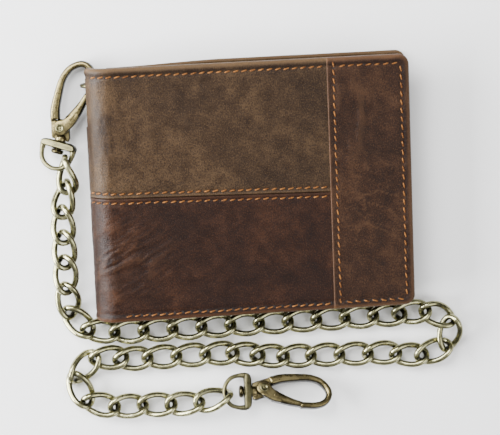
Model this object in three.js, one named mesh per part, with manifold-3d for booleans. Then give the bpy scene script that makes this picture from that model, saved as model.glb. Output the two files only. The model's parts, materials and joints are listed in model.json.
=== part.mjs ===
// A bifold leather wallet with a curb chain and two swivel snap hooks, laid flat and closed.
// Millimetres, +Z up. The origin is the middle of the wallet's back face, which rests at z = 0.
import * as THREE from 'three';
import { mergeVertices } from 'three/addons/utils/BufferGeometryUtils.js';
import Module from 'manifold-3d';

const wasm = await Module();
wasm.setup();

// ---- driving dimensions -------------------------------------------------------------------

const CLEARANCE = 0.3; // gap between pieces that lie against each other
const WALLET_WIDTH = 120; // from the spine to the front cover's free edge
const WALLET_HEIGHT = 95;
const WALLET_THICKNESS = 17; // closed, over the two covers
const COVER_LEATHER = 1.6; // turned and glued shell leather
const LINING_LEATHER = 1.0;
const CORNER_RADIUS = 4;
const BACK_COVER_REACH = 1.5; // the back cover's free edge stands this far past the front one
const STRIP_WIDTH = 30.7; // full-height strip at the front cover's free edge
const STRIP_PROUD = 0.3; // the strip's edge stands above the panels beside it
const SEAM_Y = -1.9; // height of the seam between the two front panels, at mid width
const SEAM_SLOPE = -0.024;
const LINING_INSET = 1.5; // linings stop short of the covers' edges
const BILL_OPENING_DROP = 3; // the linings' top edge lies below the covers' top edge
const POCKET_STEPS = 3; // card pockets in each stack
const POCKET_LEATHER = 1.5; // one pocket's leather, doubled at its mouth
const POCKET_STEP_HEIGHT = 12; // each pocket's mouth below the one behind it
const POCKET_INSET = 3;

const RING_OUTER = 8.6; // round ring in the keeper strap
const RING_WIRE = 1.5;
const RING_PLACE = [-57.3, 40.5];
const STRAP_THICKNESS = 3.4; // doubled keeper strap, standing on edge
const STRAP_WIDTH = 3.8;
const NOTCH_BELOW = 11; // the spine's leather is cut away under this height beside the ring
const NOTCH_PAST_RING = 15; // the cut runs from this far below the ring up to the wallet's top

const LINK_LENGTH = 16; // outside of one chain link
const LINK_WIDTH = 9.9;
const LINK_WIRE = 2.25;
const LINK_TWIST = 45; // degrees, each end of a link against its middle
const LINK_SIDES = 6;
const LINK_STEPS = 14;
const LINK_SQUARENESS = 2.4; // 2 is a plain oval, more is squarer
const FLOOR_GAP = 0.1; // between the lowest point of a chain link and the floor

const HOOK_DEPTH = 4.4;
const HOOK_RIM = 1.15; // half the width of the hook's arm
const HOOK_BEVEL = 0.5;
const BOSS_BEVEL = 0.3;
const PIVOT = [4.5, 0.9]; // the gate's pivot in the hook's own frame
const PIVOT_BOSS = 3.3;
const GATE_BOSS = 2.9;
const GATE_NOSE_RADIUS = 15.9; // from the pivot to the gate's free end
const GATE_NECK_HALF_WIDTHS = [2.0, 1.4];
const GATE_ARM_HALF_WIDTHS = [1.5, 1.05];
const RIVET_RADIUS = 1.1;
const RIVET_HEAD = 1.6;
const RIVET_HEAD_HEIGHT = 0.45;
const STEM_RADIUS = 1.2; // the swivel stem through the eye's bar
const STEM_HEAD = 2.3;
const STEM_HEAD_THICKNESS = 1.7;
const EYE_WIDTH = 14;
const EYE_REACH = 8.4; // from the bar's far face to the outside of the bow
const EYE_WIRE = 1.7;
const EYE_BAR_LENGTH = 2.8; // along the hook's axis
const EYE_BAR_DEPTH = 3.6;
const EYE_BAR_CORNER = 1.2;
const EYE_BEVEL = 0.4;
const ROUND_SIDES = 20;

// The ring, the hooks and the chain are laid beside the wallet's bottom left corner. Their places
// are written for a wallet of this outline, and move with that corner when the wallet's size changes.
const LAID_WIDTH = 120;
const LAID_HEIGHT = 95;

// Where each hook lies: the middle of its shoulder, its direction seen from above, how far its
// nose dips, how far it leans about its own axis, and how far its eye leans.
const HOOK_A = { at: [-69.9, 20.6, 5.2], heading: 72.5, dip: 3.5, lean: -12, eyeLean: -26 };
const HOOK_B = { at: [-2.1, -80.1, 4.95], heading: -2.8, dip: 0, lean: -28, eyeLean: -20 };

// The chain's course from hook A to hook B: points where one link bears on the next, the height
// of that point, the links' lean about the chain there, and how many links lead up to it.
const CHAIN_COURSE = [
  { at: [-66.9, 11.2], height: 4.4, lean: 19.8, links: 0 },
  { at: [-70.4, 3.2], height: 6.2, lean: 39.2, links: 1 },
  { at: [-70.6, -34.8], height: 6.1, lean: -1.1, links: 4 },
  { at: [-69.6, -45.7], height: 3.2, lean: 1.6, links: 1 },
  { at: [-64.1, -51.7], height: 4.0, lean: 6.3, links: 1 },
  { at: [-53.4, -54.0], height: 2.8, lean: 0, links: 1 },
  { at: [68.0, -54.0], height: 2.8, lean: 0, links: 11 },
  { at: [77.6, -57.4], height: 2.8, lean: 0, links: 1 },
  { at: [75.8, -66.4], height: 2.8, lean: 0, links: 1 },
  { at: [65.6, -69.3], height: 2.8, lean: 0, links: 1 },
  { at: [10.2, -67.6], height: 2.8, lean: 0, links: 5 },
  { at: [0.6, -66.5], height: 2.8, lean: 0, links: 1 },
  { at: [-8.4, -64.9], height: 2.8, lean: 0, links: 1 },
  { at: [-63.4, -64.6], height: 2.8, lean: 0, links: 5 },
  { at: [-70.6, -70.4], height: 2.8, lean: 0, links: 1 },
  { at: [-66.4, -78.2], height: 2.8, lean: 0, links: 1 },
  { at: [-56.2, -81.6], height: 2.8, lean: 0, links: 1 },
  { at: [-26.4, -83.4], height: 3.0, lean: -0.5, links: 3 },
  { at: [-15.2, -80.8], height: 4.2, lean: 1.0, links: 1 },
];

// Where the chain turns back on itself, and where it joins a hook's eye, each link has a place of
// its own: its middle, its direction seen from above, how far that end dips, and how far it leans
// about its own length.
const TURN_LINKS = {
  1: { at: [-68.2, 7.8, 7.6], heading: -87.5, dip: 10.4, lean: 51.9 },
  2: { at: [-69.6, -1.4, 6.1], heading: -102.0, dip: 0.0, lean: 36.5 },
  19: { at: [60.8, -53.4, 3.6], heading: 2.9, dip: -6.9, lean: -0.5 },
  20: { at: [71.0, -54.9, 4.0], heading: -26.3, dip: 4.5, lean: -9.5 },
  21: { at: [75.5, -62.7, 3.8], heading: -98.5, dip: 11.9, lean: 4.2 },
  22: { at: [69.1, -69.4, 3.2], heading: -161.7, dip: 3.4, lean: 9.2 },
  23: { at: [59.5, -70.2, 3.0], heading: 175.0, dip: -0.2, lean: 0.9 },
  34: { at: [-56.1, -63.7, 3.0], heading: 177.8, dip: -1.6, lean: -1.2 },
  35: { at: [-65.6, -66.7, 3.4], heading: -136.7, dip: -7.6, lean: -6.3 },
  36: { at: [-67.4, -75.1, 3.7], heading: -67.1, dip: -6.9, lean: 4.7 },
  37: { at: [-60.1, -81.4, 4.0], heading: -17.2, dip: -0.1, lean: 1.0 },
  38: { at: [-49.6, -82.9, 3.7], heading: -0.8, dip: 2.0, lean: -10.3 },
  39: { at: [-38.6, -83.1, 3.7], heading: -2.6, dip: -4.5, lean: -11.2 },
  40: { at: [-28.0, -83.2, 4.6], heading: 1.4, dip: -4.7, lean: -25.7 },
  41: { at: [-17.2, -82.0, 5.3], heading: 13.5, dip: -2.2, lean: -40.8 },
};

// ---- values that follow from them -----------------------------------------------------------

const SPINE_OUTER = WALLET_THICKNESS / 2;
const SPINE_INNER = SPINE_OUTER - COVER_LEATHER;
const SPINE_X = -WALLET_WIDTH / 2 + SPINE_OUTER; // the covers start here, the spine bends left of it
const HALF_HEIGHT = WALLET_HEIGHT / 2;
const FREE_X = WALLET_WIDTH / 2;
const STRIP_X = FREE_X - STRIP_WIDTH;
const COVER_X = SPINE_X + CLEARANCE;
const FRONT_Z = WALLET_THICKNESS - COVER_LEATHER;
const INNER_X = SPINE_X + LINING_INSET;
const LINING_TOP = COVER_LEATHER + CLEARANCE + LINING_LEATHER;
const LAID_X = (LAID_WIDTH - WALLET_WIDTH) / 2;
const LAID_Y = (LAID_HEIGHT - WALLET_HEIGHT) / 2;
const RING_X = RING_PLACE[0] + LAID_X;
const RING_Y = RING_PLACE[1] + LAID_Y;
const RING_Z = LINING_TOP + CLEARANCE + STRAP_WIDTH / 2;
const LINK_RADIUS = LINK_WIRE / 2;
const LINK_HALF_LENGTH = (LINK_LENGTH - LINK_WIRE) / 2;
const LINK_HALF_WIDTH = (LINK_WIDTH - LINK_WIRE) / 2;

// ---- colours --------------------------------------------------------------------------------

const SHELL_LEATHER = { color: 0x4f4034, roughness: 0.6, metalness: 0 };
const LOWER_LEATHER = { color: 0x452f26, roughness: 0.6, metalness: 0 };
const INNER_LEATHER = { color: 0x3b2a20, roughness: 0.75, metalness: 0 };
const BRASS = { color: 0x8c8560, roughness: 0.35, metalness: 1 };
const DARK_BRASS = { color: 0x5d583f, roughness: 0.4, metalness: 1 };

// ---- geometry helpers -----------------------------------------------------------------------

const root = new THREE.Group();

function add(name, geometry, finish, parent = root) {
  const mesh = new THREE.Mesh(geometry, new THREE.MeshStandardMaterial(finish));
  mesh.name = name;
  parent.add(mesh);
  return mesh;
}

// A closed geometry as a manifold-3d solid, and back.
function toSolid(geometry) {
  const bare = new THREE.BufferGeometry();
  const source = geometry.index ? geometry.toNonIndexed() : geometry;
  bare.setAttribute('position', source.getAttribute('position').clone());
  const merged = mergeVertices(bare, 1e-4);
  return new wasm.Manifold(new wasm.Mesh({
    numProp: 3,
    vertProperties: merged.attributes.position.array,
    triVerts: new Uint32Array(merged.index.array),
  }));
}

function toGeometry(solid) {
  const mesh = solid.getMesh();
  const geometry = new THREE.BufferGeometry();
  geometry.setAttribute('position', new THREE.BufferAttribute(mesh.vertProperties, 3));
  geometry.setIndex(new THREE.BufferAttribute(mesh.triVerts, 1));
  return geometry;
}

// A flat outline raised from z = low to z = high.
function plate(shape, low, high) {
  const geometry = new THREE.ExtrudeGeometry(shape, {
    depth: high - low,
    bevelEnabled: false,
    curveSegments: 4,
  });
  return geometry.translate(0, 0, low);
}

// The same with its rims rounded off.
function roundedPlate(shape, low, high, bevel, curveSegments = 5) {
  const geometry = new THREE.ExtrudeGeometry(shape, {
    depth: high - low - 2 * bevel,
    bevelThickness: bevel,
    bevelSize: bevel,
    bevelOffset: -bevel,
    bevelSegments: 1,
    curveSegments,
  });
  return geometry.translate(0, 0, low + bevel);
}

function box(x0, x1, y0, y1, z0, z1) {
  const geometry = new THREE.BoxGeometry(x1 - x0, y1 - y0, z1 - z0);
  return geometry.translate((x0 + x1) / 2, (y0 + y1) / 2, (z0 + z1) / 2);
}

// A cylinder along X between two places.
function rodAlongX(x0, x1, radius) {
  const geometry = new THREE.CylinderGeometry(radius, radius, x1 - x0, ROUND_SIDES);
  return geometry.rotateZ(Math.PI / 2).translate((x0 + x1) / 2, 0, 0);
}

// A four-cornered outline, with its right-hand corners rounded where a radius is given.
function panelShape(x0, x1, bottomLeft, bottomRight, topRight, topLeft, lowRadius, highRadius) {
  const shape = new THREE.Shape();
  shape.moveTo(x0, bottomLeft);
  shape.lineTo(x1 - lowRadius, bottomRight);
  if (lowRadius) shape.absarc(x1 - lowRadius, bottomRight + lowRadius, lowRadius, -Math.PI / 2, 0);
  shape.lineTo(x1, topRight - highRadius);
  if (highRadius) shape.absarc(x1 - highRadius, topRight - highRadius, highRadius, 0, Math.PI / 2);
  shape.lineTo(x0, topLeft);
  return shape;
}

// A band of even or tapering width along a smooth line of points.
function bandShape(points, widths, samples) {
  const line = new THREE.CatmullRomCurve3(points.map(([x, y]) => new THREE.Vector3(x, y, 0)));
  const left = [];
  const right = [];
  for (let i = 0; i <= samples; i += 1) {
    const share = i / samples;
    const place = line.getPoint(share);
    const along = line.getTangent(share);
    const half = THREE.MathUtils.lerp(widths[0], widths[1], share);
    left.push(new THREE.Vector2(place.x - along.y * half, place.y + along.x * half));
    right.push(new THREE.Vector2(place.x + along.y * half, place.y - along.x * half));
  }
  return new THREE.Shape([...right, ...left.reverse()]);
}

// ---- wallet ---------------------------------------------------------------------------------

const seamAt = (x) => SEAM_Y + SEAM_SLOPE * x;

function makeBackCover() {
  const reach = FREE_X + BACK_COVER_REACH;
  const back = panelShape(COVER_X, reach, -HALF_HEIGHT, -HALF_HEIGHT, HALF_HEIGHT, HALF_HEIGHT,
    CORNER_RADIUS, CORNER_RADIUS);
  add('back_cover_panel', plate(back, 0, COVER_LEATHER), SHELL_LEATHER);

  const low = COVER_LEATHER + CLEARANCE;
  const lining = box(INNER_X, reach - LINING_INSET - BACK_COVER_REACH, -HALF_HEIGHT + LINING_INSET,
    HALF_HEIGHT - BILL_OPENING_DROP, low, low + LINING_LEATHER);
  add('back_lining', lining, INNER_LEATHER);

  const stack = low + LINING_LEATHER + CLEARANCE;
  add('back_card_pockets', toGeometry(pocketStack(stack, 1)), INNER_LEATHER);
}

// Three card pockets sewn in steps: each leaf is shorter than the one behind it. The stack grows
// up from the back cover, or down from the front one.
function pocketStack(base, direction) {
  let stack = null;
  for (let step = 0; step < POCKET_STEPS; step += 1) {
    const near = base + direction * step * POCKET_LEATHER;
    const far = base + direction * (step + 1) * POCKET_LEATHER;
    const top = HALF_HEIGHT - BILL_OPENING_DROP - POCKET_INSET - step * POCKET_STEP_HEIGHT;
    const leaf = toSolid(box(INNER_X + POCKET_INSET, FREE_X - POCKET_INSET,
      -HALF_HEIGHT + POCKET_INSET, top, Math.min(near, far), Math.max(near, far)));
    stack = stack ? stack.add(leaf) : leaf;
  }
  return stack;
}

function makeSpine() {
  const section = new THREE.Shape();
  section.moveTo(0, SPINE_OUTER);
  section.absarc(0, 0, SPINE_OUTER, Math.PI / 2, Math.PI * 1.5);
  section.lineTo(0, -SPINE_INNER);
  section.absarc(0, 0, SPINE_INNER, Math.PI * 1.5, Math.PI / 2, true);
  const bent = new THREE.ExtrudeGeometry(section, {
    depth: WALLET_HEIGHT,
    bevelEnabled: false,
    curveSegments: 16,
  });
  bent.rotateX(Math.PI / 2).translate(SPINE_X, HALF_HEIGHT, SPINE_OUTER);
  const margin = 1;
  const cut = box(SPINE_X - SPINE_OUTER - margin, SPINE_X + margin,
    RING_Y - NOTCH_PAST_RING, HALF_HEIGHT + margin, -margin, NOTCH_BELOW);
  add('spine_leather', toGeometry(toSolid(bent).subtract(toSolid(cut))), SHELL_LEATHER);
}

function makeFrontCover() {
  const panelEnd = STRIP_X - CLEARANCE;
  const half = CLEARANCE / 2;
  const upper = panelShape(COVER_X, panelEnd, seamAt(COVER_X) + half, seamAt(panelEnd) + half,
    HALF_HEIGHT, HALF_HEIGHT, 0, 0);
  add('front_upper_panel', plate(upper, FRONT_Z, WALLET_THICKNESS), SHELL_LEATHER);
  const lower = panelShape(COVER_X, panelEnd, -HALF_HEIGHT, -HALF_HEIGHT,
    seamAt(panelEnd) - half, seamAt(COVER_X) - half, 0, 0);
  add('front_lower_panel', plate(lower, FRONT_Z, WALLET_THICKNESS), LOWER_LEATHER);
  const strip = panelShape(STRIP_X, FREE_X, -HALF_HEIGHT, -HALF_HEIGHT, HALF_HEIGHT, HALF_HEIGHT,
    CORNER_RADIUS, CORNER_RADIUS);
  add('front_side_strip', plate(strip, FRONT_Z, WALLET_THICKNESS + STRIP_PROUD), SHELL_LEATHER);

  const high = FRONT_Z - CLEARANCE;
  const lining = box(INNER_X, FREE_X - LINING_INSET, -HALF_HEIGHT + LINING_INSET,
    HALF_HEIGHT - BILL_OPENING_DROP, high - LINING_LEATHER, high);
  add('front_lining', lining, INNER_LEATHER);
  add('front_card_pockets', toGeometry(pocketStack(high - LINING_LEATHER - CLEARANCE, -1)), INNER_LEATHER);
}

// The ring stands across the hook's arm; its keeper strap stands on edge and runs into the fold.
function makeRing() {
  const centreRadius = (RING_OUTER - RING_WIRE) / 2;
  const ring = new THREE.TorusGeometry(centreRadius, RING_WIRE / 2, 8, ROUND_SIDES);
  add('keeper_ring', ring.rotateX(Math.PI / 2), DARK_BRASS).position.set(RING_X, RING_Y, RING_Z);

  const bore = RING_WIRE / 2 + CLEARANCE;
  const nose = STRAP_THICKNESS / 2;
  const end = INNER_X + POCKET_INSET - CLEARANCE - RING_X - centreRadius;
  const strap = new THREE.Shape();
  strap.moveTo(0, -nose);
  strap.lineTo(end, -nose);
  strap.lineTo(end, nose);
  strap.lineTo(0, nose);
  strap.absarc(0, 0, nose, Math.PI / 2, Math.PI * 1.5);
  const blank = toSolid(plate(strap, -STRAP_WIDTH / 2, STRAP_WIDTH / 2));
  // the ring's path through the strap is cleared by a fatter ring in the same place
  const path = new THREE.TorusGeometry(centreRadius, bore, 8, ROUND_SIDES).rotateX(Math.PI / 2);
  path.translate(-centreRadius, 0, 0);
  const holder = add('ring_keeper_strap', toGeometry(blank.subtract(toSolid(path))), INNER_LEATHER);
  holder.position.set(RING_X + centreRadius, RING_Y, RING_Z);
}

// ---- chain ----------------------------------------------------------------------------------

// One curb link: an oval of round wire, twisted evenly about its long axis.
function linkGeometry() {
  const twist = THREE.MathUtils.degToRad(LINK_TWIST);
  const squareness = 2 / LINK_SQUARENESS;
  const bend = (value) => Math.sign(value) * Math.abs(value) ** squareness;
  const centre = (turn) => {
    const x = LINK_HALF_LENGTH * bend(Math.cos(turn));
    const across = LINK_HALF_WIDTH * bend(Math.sin(turn));
    const angle = -twist * x / LINK_HALF_LENGTH;
    return new THREE.Vector3(x, across * Math.cos(angle), across * Math.sin(angle));
  };
  const ring = new THREE.TorusGeometry(LINK_HALF_LENGTH, LINK_RADIUS, LINK_SIDES, LINK_STEPS);
  const place = ring.getAttribute('position');
  const little = 0.01;
  for (let side = 0; side <= LINK_SIDES; side += 1) {
    const around = 2 * Math.PI * (side % LINK_SIDES) / LINK_SIDES;
    for (let step = 0; step <= LINK_STEPS; step += 1) {
      const turn = 2 * Math.PI * ((step % LINK_STEPS) + 0.5) / LINK_STEPS;
      const middle = centre(turn);
      const along = centre(turn + little).sub(centre(turn - little)).normalize();
      const outward = middle.clone().addScaledVector(along, -middle.dot(along)).normalize();
      const up = new THREE.Vector3().crossVectors(along, outward);
      middle.addScaledVector(outward, LINK_RADIUS * Math.cos(around));
      middle.addScaledVector(up, -LINK_RADIUS * Math.sin(around));
      place.setXYZ(side * (LINK_STEPS + 1) + step, middle.x, middle.y, middle.z);
    }
  }
  return ring;
}

// Lays one link between two bearing points, leaning about the line between them.
function layLink(mesh, start, end, lean) {
  const along = end.clone().sub(start).normalize();
  const across = new THREE.Vector3(0, 0, 1).cross(along).normalize();
  mesh.setRotationFromMatrix(new THREE.Matrix4().makeBasis(along, across, along.clone().cross(across)));
  mesh.rotateX(THREE.MathUtils.degToRad(lean));
  mesh.position.copy(start).lerp(end, 0.5);
}

function setPlace(object, { at, heading, dip, lean }) {
  object.position.set(...at);
  object.rotation.order = 'ZYX';
  object.rotation.set(THREE.MathUtils.degToRad(lean), THREE.MathUtils.degToRad(dip),
    THREE.MathUtils.degToRad(heading));
}

function makeChain() {
  const chain = new THREE.Group();
  chain.position.set(LAID_X, LAID_Y, 0);
  root.add(chain);
  const link = linkGeometry();
  let count = 0;
  for (let stage = 1; stage < CHAIN_COURSE.length; stage += 1) {
    const from = CHAIN_COURSE[stage - 1];
    const to = CHAIN_COURSE[stage];
    const start = new THREE.Vector3(...from.at, from.height + FLOOR_GAP);
    const end = new THREE.Vector3(...to.at, to.height + FLOOR_GAP);
    for (let i = 0; i < to.links; i += 1) {
      count += 1;
      const mesh = add(`chain_link_${String(count).padStart(2, '0')}`, link, BRASS, chain);
      if (TURN_LINKS[count]) {
        setPlace(mesh, TURN_LINKS[count]);
      } else {
        const near = start.clone().lerp(end, i / to.links);
        const far = start.clone().lerp(end, (i + 1) / to.links);
        layLink(mesh, near, far, THREE.MathUtils.lerp(from.lean, to.lean, (i + 0.5) / to.links));
      }
    }
  }
}

// ---- snap hooks -----------------------------------------------------------------------------

// In a hook's own frame X runs from the swivel to the nose, Y across it and Z through its depth.
const ARM_LINE = [[7.4, 3.75], [11, 4.6], [16, 4.85], [22, 4.7], [26.3, 3.2], [29.0, 0.3],
  [29.5, -2.4], [27.9, -4.9], [24.4, -6.15], [18.7, -6.0]];
const GATE_LINE = [[8.2, -1.1], [11.5, -2.9], [15, -4.5], [19.3, -5.9]];
const NECK_LINE = [[5.4, 0.5], [8.2, -1.1], [10.0, -2.1]];
const BOSS_FOOT = [[0, 2.2], [0, -2.2], [1.4, -2.6]]; // the boss's outline before it rounds the pivot
const BOSS_ROOT = [[8.6, 5.0], [6.4, 5.1], [1.4, 3.0]]; // and where it runs into the arm
const BRIDGE = [[6.2, 5.1], [6.7, 3.6], [8.2, 3.5], [8.8, 5.2]]; // full-depth step between the two
const SHOULDER = [[0, -2.0], [0.9, -1.9], [0.9, 1.9], [0, 2.0]];
const BRIDGE_DROP = 0.2; // the step stops this short of the arm's faces
const STEM_BURIED = 0.5; // how far the stem runs into its head and into the shoulder

const pointsOf = (line) => line.map(([x, y]) => new THREE.Vector2(x, y));

// The bore a rivet turns in.
function rivetBore() {
  const bore = new THREE.CylinderGeometry(RIVET_RADIUS + CLEARANCE, RIVET_RADIUS + CLEARANCE,
    2 * HOOK_DEPTH, ROUND_SIDES);
  return toSolid(bore.rotateX(Math.PI / 2).translate(...PIVOT, 0));
}

// The space the gate's nose sweeps through, and a block round the place where it meets the arm.
function noseSweep(radius) {
  const round = new THREE.CylinderGeometry(radius, radius, 2 * HOOK_DEPTH, 6 * ROUND_SIDES);
  return toSolid(round.rotateX(Math.PI / 2).translate(...PIVOT, 0));
}

function noseBlock() {
  return toSolid(box(15, 22, -9, -3, -HOOK_DEPTH, HOOK_DEPTH));
}

function hookBody() {
  const low = -HOOK_DEPTH / 2;
  const lap = -CLEARANCE / 2;
  const line = bandShape(ARM_LINE, [HOOK_RIM, HOOK_RIM], 26);
  const noseRoom = noseBlock().intersect(noseSweep(GATE_NOSE_RADIUS + CLEARANCE));
  const arm = toSolid(roundedPlate(line, low, -low, HOOK_BEVEL)).subtract(noseRoom);
  const boss = new THREE.Shape();
  boss.moveTo(...BOSS_FOOT[0]);
  for (const corner of BOSS_FOOT.slice(1)) boss.lineTo(...corner);
  boss.absarc(...PIVOT, PIVOT_BOSS, -Math.PI * 0.7, 0.8);
  for (const corner of BOSS_ROOT) boss.lineTo(...corner);
  const base = toSolid(roundedPlate(boss, low, lap, BOSS_BEVEL, 12));
  const shoulder = new THREE.Shape(pointsOf(SHOULDER));
  const back = toSolid(plate(shoulder, low + HOOK_BEVEL, -low - HOOK_BEVEL));
  const bridge = new THREE.Shape(pointsOf(BRIDGE));
  const step = toSolid(plate(bridge, low + BRIDGE_DROP, -low - BRIDGE_DROP));
  const headEnd = -EYE_BAR_LENGTH - 2 * CLEARANCE;
  const stem = toSolid(rodAlongX(headEnd - STEM_BURIED, STEM_BURIED, STEM_RADIUS));
  const head = toSolid(rodAlongX(headEnd - STEM_HEAD_THICKNESS, headEnd, STEM_HEAD));
  return toGeometry(arm.add(base).add(back).add(step).add(stem).add(head).subtract(rivetBore()));
}

function gate() {
  const low = -HOOK_DEPTH / 2;
  const lap = CLEARANCE / 2;
  const disc = new THREE.Shape();
  disc.absarc(...PIVOT, GATE_BOSS, 0, Math.PI * 2);
  const boss = toSolid(roundedPlate(disc, lap, -low, BOSS_BEVEL, ROUND_SIDES / 2));
  const neckShape = bandShape(NECK_LINE, GATE_NECK_HALF_WIDTHS, 5);
  const neck = toSolid(roundedPlate(neckShape, lap, -low, BOSS_BEVEL));
  const armShape = bandShape(GATE_LINE, GATE_ARM_HALF_WIDTHS, 12);
  const arm = toSolid(roundedPlate(armShape, low, -low, HOOK_BEVEL));
  // the full-depth arm starts outside the body's boss, which it turns round
  const room = new THREE.CylinderGeometry(PIVOT_BOSS + CLEARANCE, PIVOT_BOSS + CLEARANCE,
    HOOK_DEPTH, 2 * ROUND_SIDES);
  room.rotateX(Math.PI / 2).translate(...PIVOT, lap - HOOK_DEPTH / 2);
  const noseWaste = noseBlock().subtract(noseSweep(GATE_NOSE_RADIUS));
  const cut = arm.subtract(toSolid(room)).subtract(noseWaste);
  return toGeometry(boss.add(neck).add(cut).subtract(rivetBore()));
}

// A rivet with a flat head at each end, the upper one dimpled.
function rivet() {
  const top = HOOK_DEPTH / 2 + CLEARANCE;
  const end = top + RIVET_HEAD_HEIGHT;
  const half = [[0, end - 0.3], [RIVET_HEAD * 0.45, end - 0.1], [RIVET_HEAD * 0.7, end],
    [RIVET_HEAD, top + 0.15], [RIVET_HEAD, top], [RIVET_RADIUS, top]];
  const profile = [...half, [RIVET_RADIUS, -top], [RIVET_HEAD, -top], [RIVET_HEAD, -top - 0.15],
    [RIVET_HEAD * 0.7, -end], [0, -end]];
  const points = profile.map(([r, z]) => new THREE.Vector2(r, z)).reverse();
  const turned = new THREE.LatheGeometry(points, ROUND_SIDES - 4);
  return turned.rotateX(Math.PI / 2).translate(...PIVOT, 0);
}

// The swivel eye: a flat bar that turns on the stem, and a bow of round wire for the chain.
function eye() {
  const near = -CLEARANCE;
  const far = near - EYE_BAR_LENGTH;
  const reach = far - EYE_REACH + EYE_WIRE / 2;
  const side = (EYE_WIDTH - EYE_WIRE) / 2;
  const line = [[far + 0.6, side], [far - 1.8, side], [far - 4.8, side * 0.86], [reach + 0.7, side * 0.5],
    [reach, 0], [reach + 0.7, -side * 0.5], [far - 4.8, -side * 0.86], [far - 1.8, -side], [far + 0.6, -side]];
  const half = EYE_WIRE / 2;
  const bow = toSolid(roundedPlate(bandShape(line, [half, half], 20), -half, half, EYE_BEVEL - 0.05));
  const outline = new THREE.Shape();
  const across = EYE_WIDTH / 2;
  const corner = EYE_BAR_CORNER;
  outline.moveTo(far, -across + 0.2);
  outline.lineTo(near - corner, -across);
  outline.absarc(near - corner, -across + corner, corner, -Math.PI / 2, 0);
  outline.lineTo(near, across - corner);
  outline.absarc(near - corner, across - corner, corner, 0, Math.PI / 2);
  outline.lineTo(far, across - 0.2);
  const depth = EYE_BAR_DEPTH / 2;
  const bar = toSolid(roundedPlate(outline, -depth, depth, EYE_BEVEL, 3));
  const bore = toSolid(rodAlongX(far - 1, near + 1, STEM_RADIUS + CLEARANCE));
  return toGeometry(bow.add(bar).subtract(bore));
}

function makeHook(letter, place) {
  const hook = new THREE.Group();
  setPlace(hook, place);
  hook.position.x += LAID_X;
  hook.position.y += LAID_Y;
  root.add(hook);
  add(`hook_${letter}_body`, hookBody(), BRASS, hook);
  add(`hook_${letter}_gate`, gate(), BRASS, hook);
  add(`hook_${letter}_rivet`, rivet(), DARK_BRASS, hook);
  const swivel = add(`hook_${letter}_swivel_eye`, eye(), DARK_BRASS, hook);
  swivel.rotateX(THREE.MathUtils.degToRad(place.eyeLean - place.lean));
}

makeBackCover();
makeSpine();
makeFrontCover();
makeRing();
makeChain();
makeHook('a', HOOK_A);
makeHook('b', HOOK_B);

export default root;
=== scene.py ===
import json
import math

import bpy
import numpy as np
from mathutils import Matrix, Vector


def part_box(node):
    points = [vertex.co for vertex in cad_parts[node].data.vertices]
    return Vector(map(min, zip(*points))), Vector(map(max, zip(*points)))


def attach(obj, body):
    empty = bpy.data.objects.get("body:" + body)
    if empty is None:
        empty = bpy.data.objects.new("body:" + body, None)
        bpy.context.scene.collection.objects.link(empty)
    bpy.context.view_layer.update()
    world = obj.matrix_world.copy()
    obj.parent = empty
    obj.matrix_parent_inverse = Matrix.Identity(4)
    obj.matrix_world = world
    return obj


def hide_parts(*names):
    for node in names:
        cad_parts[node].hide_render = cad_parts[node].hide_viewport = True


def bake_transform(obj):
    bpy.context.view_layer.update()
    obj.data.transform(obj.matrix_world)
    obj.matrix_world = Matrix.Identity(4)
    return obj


# A bifold leather wallet with a curb chain and two swivel snap hooks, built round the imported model.
# Lengths below are millimetres in the row frame; MM turns them into Blender's metres.
MM = 0.001

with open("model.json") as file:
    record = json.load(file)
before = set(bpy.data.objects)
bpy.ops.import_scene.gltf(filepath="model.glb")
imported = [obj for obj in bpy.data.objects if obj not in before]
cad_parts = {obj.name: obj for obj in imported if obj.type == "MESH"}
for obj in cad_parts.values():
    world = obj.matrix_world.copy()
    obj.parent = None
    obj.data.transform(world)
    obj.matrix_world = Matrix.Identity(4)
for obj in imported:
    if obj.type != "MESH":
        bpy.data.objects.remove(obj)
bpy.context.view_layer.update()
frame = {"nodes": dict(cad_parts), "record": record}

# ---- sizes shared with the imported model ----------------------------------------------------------

HALF_HEIGHT = 47.5
TOP = 17.0  # front face of the closed wallet
SPINE_X = -51.5
SPINE_RADIUS = 8.5
SPINE_ARC = math.pi * SPINE_RADIUS
LEATHER = 1.6
FREE_X = 60.0
STRIP_X = 29.3
STRIP_TOP = 17.3
BACK_X = 61.5
CORNER = 4.0
NOTCH_Y = 25.5  # the spine's leather is cut away above this, below NOTCH_Z
NOTCH_Z = 11.0
SEAM_Y = -1.9
SEAM_SLOPE = -0.024
SEAM_GAP = 0.04

LINK_HALF_LENGTH = 6.875
LINK_HALF_WIDTH = 3.825
LINK_WIRE_RADIUS = 1.125
LINK_TWIST = 45.0
LINK_SQUARENESS = 2 / 2.4

HOOK_DEPTH = 4.4
PIVOT = np.array([4.5, 0.9])
ARM_LINE = [[7.4, 3.75], [11, 4.6], [16, 4.85], [22, 4.7], [26.3, 3.2], [29.0, 0.3],
            [29.5, -2.4], [27.9, -4.9], [24.4, -6.15], [18.7, -6.0]]
GATE_LINE = [[8.2, -1.1], [11.5, -2.9], [15, -4.5], [19.3, -5.9]]
HOOKS = {
    "a": {"at": (-69.9, 20.6, 5.2), "heading": 72.5, "dip": 3.5, "lean": -12, "eye": -26},
    "b": {"at": (-2.1, -80.1, 4.95), "heading": -2.8, "dip": 0, "lean": -28, "eye": -20},
}
RING_CENTRE = (-57.3, 40.5, 5.1)
RING_RADIUS = 3.55
RING_WIRE_RADIUS = 0.75


# ---- small maths -----------------------------------------------------------------------------------

def smooth(edge0, edge1, value):
    share = np.clip((value - edge0) / (edge1 - edge0), 0, 1)
    return share * share * (3 - 2 * share)


def bell(value, middle, width):
    return np.exp(-((value - middle) / width) ** 2)


def groove(value, middle, width, depth):
    return -depth * bell(value, middle, width)


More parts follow.
